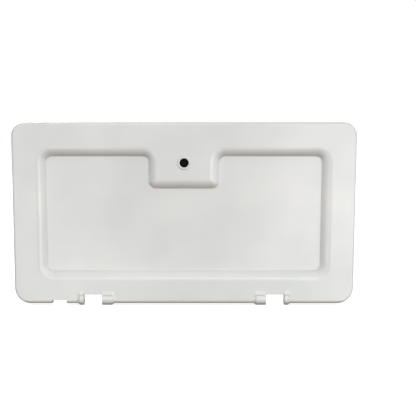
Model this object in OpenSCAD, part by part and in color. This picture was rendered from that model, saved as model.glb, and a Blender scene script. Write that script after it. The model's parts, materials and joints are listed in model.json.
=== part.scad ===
// Battery box door: one white plastic moulding, hinged along its bottom edge.
// It is drawn lying on its rim, face up: x across, y up the door, z towards the
// viewer. The last lines stand it up, with its face towards -Y.

/* [Door outline] */
// Width of the door
door_w = 420; // [360:1:520]
// Height of the door, without the hinge knuckles that hang below it
door_h = 224; // [200:1:320]
// Radius of the two top corners
top_corner_r = 15.5; // [8:0.5:24]
// Radius of the two bottom corners
bottom_corner_r = 20; // [8:0.5:24]
// Rounding where the face turns into the rim
edge_r = 2.8; // [1:0.1:4]

/* [Moulding] */
// Depth from the face to the back of the rim
depth = 12; // [11:0.5:20]
// Thickness of the face, the rolled walls and the sunk panel
wall = 3; // [2:0.1:3.6]
// Thickness of the rim
rim_t = 3; // [2:0.1:5]

/* [Sunk panel] */
// From the door's side to where the panel lies flat
side_border = 42; // [34:1:60]
// From the door's top to where the panel lies flat
top_border = 42; // [34:1:50]
// From the door's bottom to where the panel lies flat
bottom_border = 42; // [38:1:60]
// How far the panel lies behind the face
recess_depth = 8; // [4:0.5:8.5]
// Width of the rolled wall, seen from the front
roll_run = 13.2; // [9:0.2:16]
// Radius of the hollow at the rolled wall's foot
foot_r = 1.5; // [0.8:0.1:2.5]
// Radius of the panel's own corners
panel_corner_r = 6.5; // [3:0.5:12]

/* [Lock tab] */
// Width of the tab at the foot of its rolled walls
tab_w = 88.5; // [60:0.5:140]
// How far the tab reaches down into the panel
tab_drop = 39.6; // [24:0.2:70]
// Radius of the tab's two lower corners
tab_corner_r = 10; // [4:0.5:12]
// From the door's top to the centre of the lock hole
lock_down = 48.9; // [30:0.1:56]
// Diameter of the lock hole
lock_d = 11; // [6:0.1:16]
// Width of the moulded lip round the lock hole
lip_w = 2.8; // [1.5:0.1:4]
// How far the lip stands proud of the face
lip_h = 1.1; // [0.3:0.1:1.2]
// Thickness of the boss wall behind the lock hole
boss_t = 3.5; // [2:0.1:6]
// Length of the boss behind the face
boss_l = 5; // [2:0.5:6]

/* [Hinges] */
// From the door's middle to the middle of each hinge gap
hinge_x = 113.2; // [80:0.2:125]
// Width of the gap that takes the frame's hinge lug
gap_w = 22.6; // [12:0.2:30]
// Height of the gap above the door's bottom edge
gap_h = 11.4; // [9:0.1:14]
// Radius of the gap's upper corners
gap_r = 1.2; // [0.5:0.1:3]
// Length of each inner knuckle
inner_knuckle_l = 12.2; // [8:0.1:20]
// Length of each outer knuckle
outer_knuckle_l = 5; // [4:0.1:12]
// Diameter of the knuckles
knuckle_d = 15.2; // [13:0.1:16]
// Diameter of the hinge pin's bore
pin_d = 4; // [3:0.1:5]
// Room between a pin slid in along the rim and the walls beside it
pin_room = 0.3; // [0.2:0.1:0.6]
// Length of the flare that runs a knuckle's far end out into the edge
flare_l = 5.5; // [3:0.5:8]
// How far the hood over each knuckle stands proud of the face
hood_h = 1.5; // [0.8:0.1:1.8]
// Height of the ramp that leads from the face to the hood's crest
hood_run = 4.5; // [3:0.5:7]
// Width of the hood's crest
crest_w = 1.5; // [0.4:0.1:2]
// Step down from the hood's crest to the barrel
crest_drop = 0.5; // [0.2:0.1:0.7]
// Thickness of the knuckle behind the pin
knuckle_back_t = 3; // [1.5:0.1:3.6]
// Thickness of the web behind each knuckle
web_t = 2; // [1.2:0.1:3]

/* [Cable notch] */
// From the door's middle to the middle of the notch, on the left
notch_x = 154.8; // [148:0.1:180]
// Width of the notch
notch_w = 17.7; // [8:0.1:24]
// Height of the notch above the door's bottom edge
notch_h = 4.6; // [3.4:0.1:7]
// Radius of the notch's upper corners
notch_r = 0.8; // [0.5:0.1:3]

/* [Hidden] */

$fn = 96;
// Overlap that lets one solid run into the next, and a cutter out of the solid
lap = 1;
// Extra length that keeps two edges from falling on one line
hair = 0.01;
// Cuts a worked-out length down to whole microns, so that surfaces that meet
// level do so exactly
function micron(v) = floor(v * 1000) / 1000;
// Radius of the arc that leaves a line level and has risen by rise after run
function arc_radius(run, rise) = (run * run + rise * rise) / (2 * rise);

// The rim's bottom run is centred on y = 0, and its back lies on z = 0
bottom_y = -rim_t / 2;
top_y = bottom_y + door_h;
face_z = depth;
face_back_z = face_z - wall;
panel_z = face_z - recess_depth;

// The rolled wall is an arc that leaves the face level and runs into the hollow
// at its foot, which ends level with the panel. The hair makes the arcs cross.
roll_r = micron(arc_radius(roll_run, recess_depth)) - foot_r + hair;
roll_axis_z = face_z - roll_r;
foot_axis_z = panel_z + foot_r;

panel_x = door_w / 2 - side_border;
panel_low_y = bottom_y + bottom_border;
panel_high_y = top_y - top_border;
tab_x = tab_w / 2;
tab_low_y = panel_high_y - tab_drop;
lock_y = top_y - lock_down;

// The pin's axis lies just clear of the rim and of the face's back, so that
// the pin slides in along the rim
knuckle_r = knuckle_d / 2;
pin_y = rim_t / 2 + pin_room + pin_d / 2;
pin_z = face_back_z - pin_room - pin_d / 2;
// The flare runs the knuckle down to the radius that just meets face and edge
flare_end_r = min(face_z - pin_z, pin_y - bottom_y);
flare_rise = knuckle_r - flare_end_r;
flare_r = micron(arc_radius(flare_l, flare_rise));
hood_r = micron(arc_radius(hood_run, hood_h));
// Height at which the knuckle's barrel comes up through the face
barrel_y = micron(pin_y + sqrt(knuckle_r * knuckle_r - pow(face_z - pin_z, 2)));
crest_y = barrel_y + crest_w;
knuckle_back_z = pin_z - pin_d / 2 - knuckle_back_t;
web_z = pin_z - pin_d / 2;
// The hair runs the lip's inner foot into the bore, so that no flat ring is left
lip_r = micron(arc_radius(lip_w / 2, lip_h)) + hair;

// Rectangle between two heights, its low corners and high corners rounded
module rounded_box(x0, y0, x1, y1, low_r, high_r) {
    union() {
        translate([x0, y0 + low_r]) square([x1 - x0, y1 - y0 - low_r - high_r]);
        if (low_r > 0) {
            translate([x0 + low_r, y0]) square([x1 - x0 - 2 * low_r, low_r]);
            translate([x0 + low_r, y0 + low_r]) circle(low_r);
            translate([x1 - low_r, y0 + low_r]) circle(low_r);
        }
        if (high_r > 0) {
            translate([x0 + high_r, y1 - high_r]) square([x1 - x0 - 2 * high_r, high_r]);
            translate([x0 + high_r, y1 - high_r]) circle(high_r);
            translate([x1 - high_r, y1 - high_r]) circle(high_r);
        }
    }
}

// Outline of the door, drawn in from its edge by inset
module outline(inset) {
    w = door_w / 2 - inset;
    rounded_box(-w, bottom_y + inset, w, top_y - inset, bottom_corner_r - inset, top_corner_r - inset);
}

// Runs a profile from a to b. The profile's x points to the right of the way,
// and its y is the height.
module along(a, b) {
    way = b - a;
    translate([a[0], a[1], 0]) rotate([0, 0, atan2(way[1], way[0])])
        rotate([90, 0, 90]) linear_extrude(norm(way)) mirror([1, 0]) children();
}

// Runs a profile round a quarter turn of radius r about c, from the angle start
module round_corner(c, r, start) {
    translate([c[0], c[1], 0]) rotate([0, 0, start])
        rotate_extrude(angle = 90) translate([r, 0]) children();
}

// What the rounding takes off the front edge
module edge_profile() {
    difference() {
        translate([-edge_r, face_z - edge_r]) square([edge_r + lap, edge_r + lap]);
        translate([-edge_r, face_z - edge_r]) circle(edge_r);
    }
}

module edge_cutter() {
    w = door_w / 2;
    low = bottom_y + bottom_corner_r;
    high = top_y - top_corner_r;
    low_w = w - bottom_corner_r;
    high_w = w - top_corner_r;
    along([-low_w, bottom_y], [low_w, bottom_y]) edge_profile();
    along([w, low], [w, high]) edge_profile();
    along([high_w, top_y], [-high_w, top_y]) edge_profile();
    along([-w, high], [-w, low]) edge_profile();
    round_corner([low_w, low], bottom_corner_r, -90) edge_profile();
    round_corner([high_w, high], top_corner_r, 0) edge_profile();
    round_corner([-high_w, high], top_corner_r, 90) edge_profile();
    round_corner([-low_w, low], bottom_corner_r, 180) edge_profile();
}

// The face with its rim, before the panel is pressed into it
module tray() {
    difference() {
        linear_extrude(face_z) outline(0);
        translate([0, 0, -lap]) linear_extrude(face_back_z + lap) outline(rim_t);
        edge_cutter();
    }
}

// Section of what lies before a rolled wall, from the panel's foot at x = 0 out
// to where the wall runs level. A back above 0 sets it that far behind.
module roll_profile(back) {
    foot = foot_r + back;
    low_z = panel_z - back;
    top_z = face_z - back + lap;
    translate([-lap, low_z]) square([lap, top_z - low_z]);
    intersection() {
        translate([0, foot_axis_z]) circle(foot);
        translate([0, low_z]) square(foot);
    }
    difference() {
        polygon([[0, foot_axis_z], [roll_run, roll_axis_z], [roll_run, top_z], [0, top_z]]);
        translate([roll_run, roll_axis_z]) circle(roll_r - back);
    }
}

// Solid of the sunk panel and its rolled walls. It serves twice: as the hollow
// in the face, and, set back by the wall's thickness, as the bulge behind it.
module panel_press(back) {
    low_z = panel_z - back;
    px = panel_x;
    lo = panel_low_y;
    hi = panel_high_y;
    tx = tab_x;
    r = panel_corner_r;
    in = lap / 2;
    union() {
        translate([0, 0, low_z]) linear_extrude(face_z - back + lap - low_z) {
            rounded_box(-px + in, lo + in, px - in, tab_low_y - in, r - in, 0);
            rounded_box(-px + in, tab_low_y - in, -tx - in, hi - in, 0, r - in);
            rounded_box(tx + in, tab_low_y - in, px - in, hi - in, 0, r - in);
        }
        along([-px + r, lo], [px - r, lo]) roll_profile(back);
        along([px, lo + r], [px, hi - r]) roll_profile(back);
        along([px - r, hi], [tx + r, hi]) roll_profile(back);
        along([tx, hi - r], [tx, tab_low_y - lap]) roll_profile(back);
        along([tx, tab_low_y], [-tx, tab_low_y]) roll_profile(back);
        along([-tx, tab_low_y - lap], [-tx, hi - r]) roll_profile(back);
        along([-tx - r, hi], [-px + r, hi]) roll_profile(back);
        along([-px, hi - r], [-px, lo + r]) roll_profile(back);
        round_corner([px - r, lo + r], r, -90) roll_profile(back);
        round_corner([px - r, hi - r], r, 0) roll_profile(back);
        round_corner([tx + r, hi - r], r, 90) roll_profile(back);
        round_corner([-tx - r, hi - r], r, 0) roll_profile(back);
        round_corner([-px + r, hi - r], r, 90) roll_profile(back);
        round_corner([-px + r, lo + r], r, 180) roll_profile(back);
        for (side = [0, 1]) mirror([side, 0, 0])
            translate([tx - tab_corner_r, tab_low_y + tab_corner_r, 0]) tab_corner(back);
    }
}

// What lies before the tab's lower right corner, turned about the corner's axis
module tab_corner(back) {
    low_z = panel_z - back;
    high = face_z - back + lap - low_z;
    translate([0, 0, low_z]) linear_extrude(high) difference() {
        translate([0, -tab_corner_r]) square(tab_corner_r);
        circle(tab_corner_r + lap / 2);
    }
    rotate([0, 0, -90]) rotate_extrude(angle = 90) intersection() {
        translate([tab_corner_r, 0]) mirror([1, 0]) roll_profile(back);
        translate([0, low_z]) square([tab_corner_r + lap, high]);
    }
}

// Knuckle from its gap side at the origin's x to length l along +x: a barrel
// about the pin, flared out into face and edge, and cut off above the frame
module knuckle(l) {
    intersection() {
        translate([0, pin_y, pin_z]) rotate([90, 0, 90]) union() {
            cylinder(h = l, r = knuckle_r);
            translate([0, 0, l]) rotate_extrude() difference() {
                square([knuckle_r, flare_l]);
                translate([flare_end_r + flare_r, flare_l]) circle(flare_r);
            }
        }
        translate([-lap, pin_y - knuckle_d, knuckle_back_z])
            cube([l + flare_l + 2 * lap, 2 * knuckle_d, 2 * knuckle_d]);
    }
}

// Ramp from the face up to the hood's crest, from the crest outwards
module hood_profile() {
    difference() {
        translate([0, face_z - lap]) square([hood_run, hood_h + lap]);
        translate([hood_run, face_z + hood_r]) circle(hood_r);
    }
}

// Hood over a knuckle: it ramps up to a crest above the barrel, steps down to
// it, and turns down beside its far end
module hood(l) {
    along([l, crest_y], [0, crest_y]) hood_profile();
    round_corner([l, crest_y], 0, 0) hood_profile();
    along([l, pin_y], [l, crest_y]) hood_profile();
    translate([0, crest_y - crest_w, face_z - lap]) cube([l, crest_w, hood_h + lap]);
    translate([0, pin_y, face_z - lap]) cube([l, crest_y - pin_y, hood_h - crest_drop + lap]);
}

// Web that carries a knuckle's load across to the bulge behind the panel
module web(l) {
    translate([(l - web_t) / 2, pin_y, web_z])
        cube([web_t, panel_low_y - pin_y, face_back_z + lap - web_z]);
}

module knuckle_set(l) {
    knuckle(l);
    hood(l);
    web(l);
}

module hinge() {
    translate([hinge_x + gap_w / 2, 0, 0]) knuckle_set(outer_knuckle_l);
    translate([hinge_x - gap_w / 2, 0, 0]) mirror([1, 0, 0]) knuckle_set(inner_knuckle_l);
}

module hinge_cutter() {
    half = gap_w / 2;
    translate([0, 0, -lap]) linear_extrude(face_z + knuckle_d)
        rounded_box(hinge_x - half, bottom_y - knuckle_d, hinge_x + half, bottom_y + gap_h, 0, gap_r);
    translate([hinge_x - half - inner_knuckle_l - flare_l - lap, pin_y, pin_z]) rotate([0, 90, 0])
        cylinder(h = inner_knuckle_l + gap_w + outer_knuckle_l + 2 * (flare_l + lap), d = pin_d);
}

// Boss behind the lock hole, and the low round lip in front of it
module lock_boss() {
    translate([0, lock_y, 0]) {
        translate([0, 0, face_back_z - boss_l]) cylinder(h = boss_l + lap, r = lock_d / 2 + boss_t);
        rotate_extrude() intersection() {
            translate([lock_d / 2 + lip_w / 2, face_z + lip_h - lip_r]) circle(lip_r);
            translate([0, face_z - lap]) square([lock_d + lip_w, lap + lip_h]);
        }
    }
}

module lock_bore() {
    translate([0, lock_y, -lap]) cylinder(h = face_z + lip_h + 2 * lap, d = lock_d);
}

module cable_notch() {
    translate([0, 0, -lap]) linear_extrude(face_z + 2 * lap)
        rounded_box(-notch_x - notch_w / 2, bottom_y - lap - notch_r,
            -notch_x + notch_w / 2, bottom_y + notch_h, 0, notch_r);
}

module door_panel() {
    color([0.92, 0.92, 0.9]) rotate([90, 0, 0]) difference() {
        union() {
            tray();
            panel_press(wall);
            lock_boss();
            for (side = [0, 1]) mirror([side, 0, 0]) hinge();
        }
        panel_press(0);
        for (side = [0, 1]) mirror([side, 0, 0]) hinge_cutter();
        lock_bore();
        cable_notch();
    }
}

door_panel();
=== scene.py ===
"""Looks of a caravan's battery box door: its moulded plastic, a soft studio and the camera."""

import json
import logging
import math
from dataclasses import dataclass, field
from enum import Enum

import bmesh
import bpy
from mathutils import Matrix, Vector


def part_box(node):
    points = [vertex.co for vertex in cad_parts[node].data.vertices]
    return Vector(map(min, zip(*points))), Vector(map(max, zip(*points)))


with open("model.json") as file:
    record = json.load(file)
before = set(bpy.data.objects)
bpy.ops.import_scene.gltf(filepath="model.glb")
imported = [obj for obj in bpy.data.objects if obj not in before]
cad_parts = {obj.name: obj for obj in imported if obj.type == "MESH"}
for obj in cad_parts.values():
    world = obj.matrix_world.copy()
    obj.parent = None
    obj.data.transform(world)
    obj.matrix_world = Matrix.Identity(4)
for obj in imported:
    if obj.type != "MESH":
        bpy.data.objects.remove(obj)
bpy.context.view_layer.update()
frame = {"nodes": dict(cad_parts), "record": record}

Colour = tuple[float, float, float]
Span = tuple[float, float]
log = logging.getLogger("battery_box_door")

MM = 0.001
WHITE: Colour = (1.0, 1.0, 1.0)


class Ray(Enum):
    """Kinds of light ray that an object of the stage can be hidden from."""

    DIFFUSE = "visible_diffuse"
    GLOSSY = "visible_glossy"
    SHADOW = "visible_shadow"


class Ease(Enum):
    """Ways to run from one value to another."""

    EVEN = "LINEAR"
    SMOOTH = "SMOOTHSTEP"


class Reckoning(Enum):
    """Ways to reckon with values."""

    PRODUCT = "MULTIPLY"
    LARGER = "MAXIMUM"
    SIZE = "ABSOLUTE"


@dataclass
class NodeBoard:
    """A node tree that is laid out one node and one wire at a time."""

    tree: bpy.types.NodeTree
    noise_middle: Span = (0.3, 0.7)

    def add(self, kind: str, inputs: dict[str, object] | None = None, **settings: object) -> bpy.types.Node:
        """Adds a node.

        Args:
            kind: the node's type, such as ShaderNodeTexNoise.
            inputs: values for its inputs, or sockets to wire to them, by the input's name.
            settings: the node's own properties.

        Returns:
            The new node.
        """
        node = self.tree.nodes.new(kind)
        for name, value in settings.items():
            setattr(node, name, value)
        for name, value in (inputs or {}).items():
            if isinstance(value, bpy.types.NodeSocket):
                self.tree.links.new(value, node.inputs[name])
            else:
                node.inputs[name].default_value = value
        return node

    def noise(self, place: bpy.types.NodeSocket, size: float, detail: float = 2.0) -> bpy.types.NodeSocket:
        """Adds a cloudy pattern.

        Args:
            place: the point at which it is read.
            size: the width of one cloud, in metres.
            detail: how many finer layers it has.

        Returns:
            The pattern's value, from 0 to 1.
        """
        return self.add(
            "ShaderNodeTexNoise", {"Vector": place, "Scale": 1 / size, "Detail": detail}
        ).outputs["Fac"]

    def ramp(
        self, value: bpy.types.NodeSocket, over: Span, result: Span = (0.0, 1.0), ease: Ease = Ease.EVEN
    ) -> bpy.types.NodeSocket:
        """Runs a result from one end to the other while a value goes over a span, and holds it outside.

        Args:
            value: the value.
            over: where the run starts and where it ends. It may go down.
            result: what comes out at the start and at the end.
            ease: how it runs.

        Returns:
            The result.
        """
        return self.add(
            "ShaderNodeMapRange",
            {
                "Value": value,
                "From Min": over[0],
                "From Max": over[1],
                "To Min": result[0],
                "To Max": result[1],
            },
            interpolation_type=ease.value,
        ).outputs["Result"]

    def spread(self, pattern: bpy.types.NodeSocket, result: Span) -> bpy.types.NodeSocket:
        """Stretches a cloudy pattern's middle over a result."""
        return self.ramp(pattern, self.noise_middle, result)

    def reckon(self, how: Reckoning, *values: bpy.types.NodeSocket) -> bpy.types.NodeSocket:
        """Reckons with one value, or with two."""
        return self.add("ShaderNodeMath", dict(enumerate(values)), operation=how.value).outputs["Value"]

    def bump(
        self, pattern: bpy.types.NodeSocket, height: float, facing: bpy.types.NodeSocket
    ) -> bpy.types.NodeSocket:
        """Raises a surface where a pattern is strong.

        Args:
            pattern: the pattern.
            height: how high it is raised, in metres.
            facing: the surface's direction.

        Returns:
            The raised surface's direction.
        """
        return self.add(
            "ShaderNodeBump", {"Height": pattern, "Distance": height, "Normal": facing}
        ).outputs["Normal"]

    def blend(self, share: bpy.types.NodeSocket, first: object, second: object) -> bpy.types.NodeSocket:
        """Mixes two colours.

        Args:
            share: how much of the second colour shows.
            first: a colour, or the socket that gives it.
            second: a colour, or the socket that gives it.

        Returns:
            The mixed colour.
        """
        mix = self.add("ShaderNodeMix", data_type="RGBA")
        by_kind = {s.identifier: s for s in mix.inputs}
        self.tree.links.new(share, by_kind["Factor_Float"])
        for name, value in (("A_Color", first), ("B_Color", second)):
            if isinstance(value, bpy.types.NodeSocket):
                self.tree.links.new(value, by_kind[name])
            else:
                by_kind[name].default_value = (*value, 1)
        return next(s for s in mix.outputs if s.identifier == "Result_Color")

    def switch(
        self, test: bpy.types.NodeSocket, usual: bpy.types.Node, other: bpy.types.Node
    ) -> bpy.types.NodeSocket:
        """Shows one shader, or another where a test holds.

        Args:
            test: the test.
            usual: the shader that shows where it fails.
            other: the shader that shows where it holds.

        Returns:
            The shader.
        """
        return self.add(
            "ShaderNodeMixShader", {"Fac": test, 1: usual.outputs[0], 2: other.outputs[0]}
        ).outputs[0]


@dataclass(frozen=True)
class MouldedPlastic:
    """White plastic as it comes from the mould: faintly clouded, satin, with a fine grain.

    A tilt is how far a surface faces up, from -1 to 1. A tilt, a turn, a height or a depth is given
    as where a share starts and where it is full.
    """

    name: str = "moulded_white_plastic"
    warm_white: Colour = (0.820, 0.818, 0.800)
    cool_white: Colour = (0.738, 0.752, 0.742)
    cloud_size: float = 85 * MM
    refraction: float = 1.52
    # Painted shade: the colour darkens where the surface is closed in, in creases and at the feet of walls,
    # broken up by specks
    crease_shade_tint: Colour = (0.66, 0.62, 0.58)
    crease_shade_share: float = 0.42
    crease_reach: float = 6 * MM
    crease_openness: Span = (1.0, 0.4)
    crease_samples: int = 8
    speck_size: float = 6 * MM
    speck_detail: float = 4.0
    speck_shares: Span = (0.5, 1.0)
    # Painted shade, tinted brown as a painted reflection of a brown ground, on what faces down
    painted_underside_tint: Colour = (0.50, 0.44, 0.39)
    painted_underside_share: float = 0.75
    painted_underside_tilt: Span = (-0.20, -0.95)
    # Painted shade along the front of the lower edge, where it faces level or down
    painted_edge_shade_share: float = 0.85
    painted_edge_shade_tilt: Span = (0.15, 0.0)
    painted_edge_shade_turn: Span = (0.9, 0.6)
    painted_edge_shade_height: Span = (2.8 * MM, 1.8 * MM)
    painted_edge_shade_depth: Span = (-12.4 * MM, -11.9 * MM)
    gloss_size: float = 30 * MM
    roughness: Span = (0.20, 0.26)
    ripple_size: float = 35 * MM
    ripple_height: float = 0.03 * MM
    ripple_detail: float = 1.0
    grain_size: float = 0.7 * MM
    grain_height: float = 0.004 * MM
    grain_detail: float = 3.0
    edge_radius: float = 0.9 * MM
    edge_samples: int = 6

    def material(self) -> bpy.types.Material:
        """Makes the finish as a material of nodes.

        Returns:
            The material.
        """
        made = bpy.data.materials.new(self.name)
        made.use_nodes = True
        made.node_tree.nodes.clear()
        board = NodeBoard(made.node_tree)
        place = board.add("ShaderNodeTexCoord").outputs["Object"]
        shader = board.add(
            "ShaderNodeBsdfPrincipled",
            {
                "Base Color": self._colour(board, place),
                "Roughness": board.spread(board.noise(place, self.gloss_size), self.roughness),
                "IOR": self.refraction,
                "Normal": self._surface(board, place),
            },
        )
        board.add("ShaderNodeOutputMaterial", {"Surface": shader.outputs["BSDF"]})
        return made

    def _colour(self, board: NodeBoard, place: bpy.types.NodeSocket) -> bpy.types.NodeSocket:
        """Lays out the plastic's colour: clouds, painted shade in the creases broken up by specks, and
        painted brown shade underneath.

        Args:
            board: the material's nodes.
            place: the point on the door.

        Returns:
            The colour.
        """
        clouds = board.spread(board.noise(place, self.cloud_size), (0.0, 1.0))
        body = board.blend(clouds, self.warm_white, self.cool_white)
        # Painted shade in the creases, from how closed in the surface is, broken up by specks
        openness = board.add(
            "ShaderNodeAmbientOcclusion", {"Distance": self.crease_reach}, samples=self.crease_samples
        ).outputs["AO"]
        closed = board.ramp(openness, self.crease_openness, (0.0, self.crease_shade_share))
        specks = board.spread(board.noise(place, self.speck_size, self.speck_detail), self.speck_shares)
        painted_crease_shade = board.reckon(Reckoning.PRODUCT, closed, specks)
        crease_shaded = board.blend(painted_crease_shade, body, self.crease_shade_tint)
        # Painted brown shade on what faces down and along the lower edge
        return board.blend(self._painted_shade_below(board, place), crease_shaded, self.painted_underside_tint)

    def _painted_shade_below(self, board: NodeBoard, place: bpy.types.NodeSocket) -> bpy.types.NodeSocket:
        """Finds where the painted brown shade lies: faint on what faces down, and most along the lower
        edge.

        Args:
            board: the material's nodes.
            place: the point on the door.

        Returns:
            The share of the painted shade, from 0 to 1.
        """
        normal = board.add("ShaderNodeNewGeometry").outputs["Normal"]
        across, _, upward = board.add("ShaderNodeSeparateXYZ", {"Vector": normal}).outputs
        _, depth, height = board.add("ShaderNodeSeparateXYZ", {"Vector": place}).outputs
        sideways = board.reckon(Reckoning.SIZE, across)
        # Painted shade, tinted brown as a painted reflection of a brown ground, on what faces down
        underside_shade = board.ramp(upward, self.painted_underside_tilt, (0.0, self.painted_underside_share))
        # Painted shade along the front of the lower edge, where it faces level or down and not sideways
        edge_shade = board.ramp(upward, self.painted_edge_shade_tilt, (0.0, self.painted_edge_shade_share))
        for value, span in (
            (sideways, self.painted_edge_shade_turn),
            (height, self.painted_edge_shade_height),
            (depth, self.painted_edge_shade_depth),
        ):
            edge_shade = board.reckon(Reckoning.PRODUCT, edge_shade, board.ramp(value, span))
        return board.reckon(Reckoning.LARGER, underside_shade, edge_shade)

    def _surface(self, board: NodeBoard, place: bpy.types.NodeSocket) -> bpy.types.NodeSocket:
        """Lays out the surface: softened edges, slow ripples and the mould's fine grain.

        Args:
            board: the material's nodes.
            place: the point on the door.

        Returns:
            The surface's direction.
        """
        facing = board.add(
            "ShaderNodeBevel", {"Radius": self.edge_radius}, samples=self.edge_samples
        ).outputs["Normal"]
        ripples = board.noise(place, self.ripple_size, self.ripple_detail)
        rippled = board.bump(ripples, self.ripple_height, facing)
        grain = board.noise(place, self.grain_size, self.grain_detail)
        return board.bump(grain, self.grain_height, rippled)


@dataclass
class DoorPanel:
    """The door itself, one moulding that the CAD node holds."""

    node: str = "door_panel"
    finish: MouldedPlastic = field(default_factory=MouldedPlastic)

    def dress(self) -> bpy.types.Object:
        """Puts the plastic's finish on the moulding.

        Returns:
            The moulding.
        """
        door = frame["nodes"][self.node]
        made = self.finish.material()
        for slot in door.material_slots:
            slot.material = made
        return door


@dataclass
class LockHoleShade:
    """The dark of the closed box, seen through the lock hole."""

    mount: str = "lock_hole"
    clearance: float = 0.05 * MM
    depth: float = 1.2 * MM
    sides: int = 64
    colour: Colour = (0.006, 0.005, 0.005)
    roughness: float = 0.9
    shine: float = 0.1

    def build(self) -> bpy.types.Object:
        """Sets a dark disc in the lock hole, as part of the stage.

        Returns:
            The disc.
        """
        hole = next(m for m in frame["record"]["mounts"] if m["name"] == self.mount)
        at = Vector(hole["pos_m"])
        mouth_y = at.y - hole["dims"]["length_mm"] * MM / 2
        radius = hole["dims"]["r_mm"] * MM - self.clearance
        mesh = bpy.data.meshes.new("lock_hole_shade")
        made = bmesh.new()
        ring = [
            made.verts.new((at.x + radius * math.cos(a), mouth_y + self.depth, at.z + radius * math.sin(a)))
            for a in (math.tau * i / self.sides for i in range(self.sides))
        ]
        made.faces.new(ring)
        made.to_mesh(mesh)
        made.free()
        mesh.materials.append(self._dark())
        disc = bpy.data.objects.new("lock_hole_shade", mesh)
        bpy.context.scene.collection.objects.link(disc)
        return disc

    def _dark(self) -> bpy.types.Material:
        """Makes the dark, which hardly answers to light.

        Returns:
            The material.
        """
        made = bpy.data.materials.new("dark_of_the_box")
        made.use_nodes = True
        shader = made.node_tree.nodes["Principled BSDF"]
        shader.inputs["Base Color"].default_value = (*self.colour, 1)
        shader.inputs["Roughness"].default_value = self.roughness
        shader.inputs["Specular IOR Level"].default_value = self.shine
        return made


@dataclass(frozen=True)
class SoftLight:
    """A large soft white lamp that faces the door's middle, with its angles in degrees."""

    name: str
    azimuth: float
    elevation: float
    distance: float
    width: float
    height: float
    watts: float

    def hang(self, target: Vector) -> bpy.types.Object:
        """Hangs the lamp.

        Args:
            target: the point that it faces.

        Returns:
            The lamp.
        """
        data = bpy.data.lights.new(self.name, "AREA")
        data.shape = "RECTANGLE"
        data.size = self.width
        data.size_y = self.height
        data.energy = self.watts
        lamp = bpy.data.objects.new(self.name, data)
        bpy.context.scene.collection.objects.link(lamp)
        a, e = math.radians(self.azimuth), math.radians(self.elevation)
        away = Vector((math.sin(a) * math.cos(e), -math.cos(a) * math.cos(e), math.sin(e)))
        lamp.location = target + away * self.distance
        lamp.rotation_euler = away.to_track_quat("Z", "Y").to_euler()
        return lamp


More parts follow.
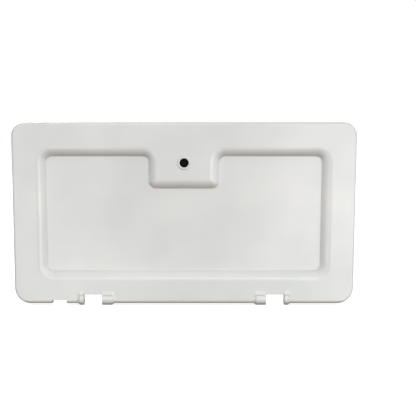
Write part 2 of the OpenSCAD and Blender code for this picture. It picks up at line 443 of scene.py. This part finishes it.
@dataclass
class Studio:
    """A white studio: a soft sky, soft lamps and a pale floor under the hinge knuckles."""

    sky_above: Colour = (0.58, 0.58, 0.575)
    sky_below: Colour = (0.030, 0.020, 0.014)
    horizon: Span = (-0.25, 0.35)
    floor_half: float = 6.0
    floor_gap: float = 0.2 * MM
    floor_colour: Colour = (0.55, 0.55, 0.55)
    floor_glow: float = 0.80
    # Azimuth and elevation, then distance, width and height in metres, then watts
    lamps: tuple[SoftLight, ...] = (
        SoftLight("front_right_lamp", 25, -1, 1.5, 0.75, 0.60, 4.4),
        SoftLight("front_left_lamp", -23, -2, 1.5, 0.70, 0.70, 1.7),
        SoftLight("side_lamp", 65, 5, 1.5, 0.80, 0.80, 2.4),
        SoftLight("high_strip", 2, 13, 1.5, 1.25, 0.14, 4.1),
        SoftLight("high_right_strip", 28, 20, 1.5, 0.70, 0.24, 1.1),
        SoftLight("low_left_card", -24, -15, 1.5, 0.80, 0.35, 1.9),
        SoftLight("low_right_card", 24, -15, 1.5, 0.80, 0.35, 1.6),
        SoftLight("back_lamp", 215, 35, 1.8, 1.2, 1.2, 22.0),
    )

    def build(self, low: Vector, high: Vector) -> None:
        """Sets up the sky, the floor and the lamps round the door.

        Args:
            low: the door's lowest corner.
            high: its highest corner.
        """
        self._sky()
        self._floor(low.z - self.floor_gap)
        for lamp in self.lamps:
            lamp.hang((low + high) / 2)
            log.info("lamp %s: %g W", lamp.name, lamp.watts)

    def _sky(self) -> None:
        """Makes the sky: white to the camera, and dimmer and brown from below as light."""
        world = bpy.data.worlds.new("white_studio")
        world.use_nodes = True
        world.node_tree.nodes.clear()
        bpy.context.scene.world = world
        board = NodeBoard(world.node_tree)
        way = board.add("ShaderNodeTexCoord").outputs["Generated"]
        _, _, up = board.add("ShaderNodeSeparateXYZ", {"Vector": way}).outputs
        share = board.ramp(up, self.horizon, ease=Ease.SMOOTH)
        colour = board.blend(share, self.sky_below, self.sky_above)
        light = board.add("ShaderNodeBackground", {"Color": colour})
        white = board.add("ShaderNodeBackground", {"Color": (*WHITE, 1)})
        seen = board.add("ShaderNodeLightPath").outputs["Is Camera Ray"]
        board.add("ShaderNodeOutputWorld", {"Surface": board.switch(seen, light, white)})

    def _floor(self, level: float) -> bpy.types.Object:
        """Lays the floor.

        Args:
            level: its height.

        Returns:
            The floor.
        """
        mesh = bpy.data.meshes.new("floor")
        made = bmesh.new()
        half = self.floor_half
        corners = ((-half, -half), (half, -half), (half, half), (-half, half))
        made.faces.new([made.verts.new((x, y, level)) for x, y in corners])
        made.to_mesh(mesh)
        made.free()
        mesh.materials.append(self._pale())
        floor = bpy.data.objects.new("floor", mesh)
        bpy.context.scene.collection.objects.link(floor)
        # The camera alone sees the floor, so the sky and the lamps give all the light
        for ray in Ray:
            setattr(floor, ray.value, False)
        return floor

    def _pale(self) -> bpy.types.Material:
        """Makes the floor's pale matt paper, which is clear from below.

        Returns:
            The material.
        """
        made = bpy.data.materials.new("pale_floor")
        made.use_nodes = True
        made.node_tree.nodes.clear()
        board = NodeBoard(made.node_tree)
        paper = board.add(
            "ShaderNodeBsdfPrincipled",
            {
                "Base Color": (*self.floor_colour, 1),
                "Roughness": 1.0,
                "Specular IOR Level": 0.0,
                "Emission Color": (*WHITE, 1),
                "Emission Strength": self.floor_glow,
            },
        )
        clear = board.add("ShaderNodeBsdfTransparent")
        below = board.add("ShaderNodeNewGeometry").outputs["Backfacing"]
        board.add("ShaderNodeOutputMaterial", {"Surface": board.switch(below, paper, clear)})
        return made


@dataclass
class PhotoCamera:
    """The camera, where the photo was taken: straight before the door and a little above."""

    image_width_px: int = 416
    image_height_px: int = 412
    door_x_px: float = 184.06
    door_y_px: float = 214.34
    door_height: float = 110.9 * MM
    pixels_per_metre: float = 817.2
    distance: float = 1.10
    elevation: float = 7.79
    nearest: float = 10 * MM

    def place(self, face_y: float) -> bpy.types.Object:
        """Places the camera.

        Args:
            face_y: where the door's face lies.

        Returns:
            The camera.
        """
        data = bpy.data.cameras.new("photo_camera")
        data.lens = data.sensor_width * self.pixels_per_metre * self.distance / self.image_width_px
        data.shift_x = (self.image_width_px / 2 - self.door_x_px) / self.image_width_px
        data.shift_y = (self.door_y_px - self.image_height_px / 2) / self.image_width_px
        data.clip_start = self.nearest
        camera = bpy.data.objects.new("photo_camera", data)
        bpy.context.scene.collection.objects.link(camera)
        e = math.radians(self.elevation)
        back = Vector((0, -math.cos(e), math.sin(e)))
        camera.location = Vector((0, face_y, self.door_height)) + back * self.distance
        camera.rotation_euler = back.to_track_quat("Z", "Y").to_euler()
        bpy.context.scene.camera = camera
        return camera


def main() -> None:
    """Builds the door's looks, its stage and the camera."""
    logging.basicConfig(level=logging.INFO, format="%(message)s")
    low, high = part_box("door_panel")
    bpy.context.scene.view_settings.view_transform = "Standard"
    PhotoCamera().place(low.y)
    door = DoorPanel().dress()
    log.info("piece %s: %d faces", door.name, len(door.data.polygons))
    shade = LockHoleShade().build()
    log.info("stage %s", shade.name)
    Studio().build(low, high)


if __name__ == "__main__":
    main()
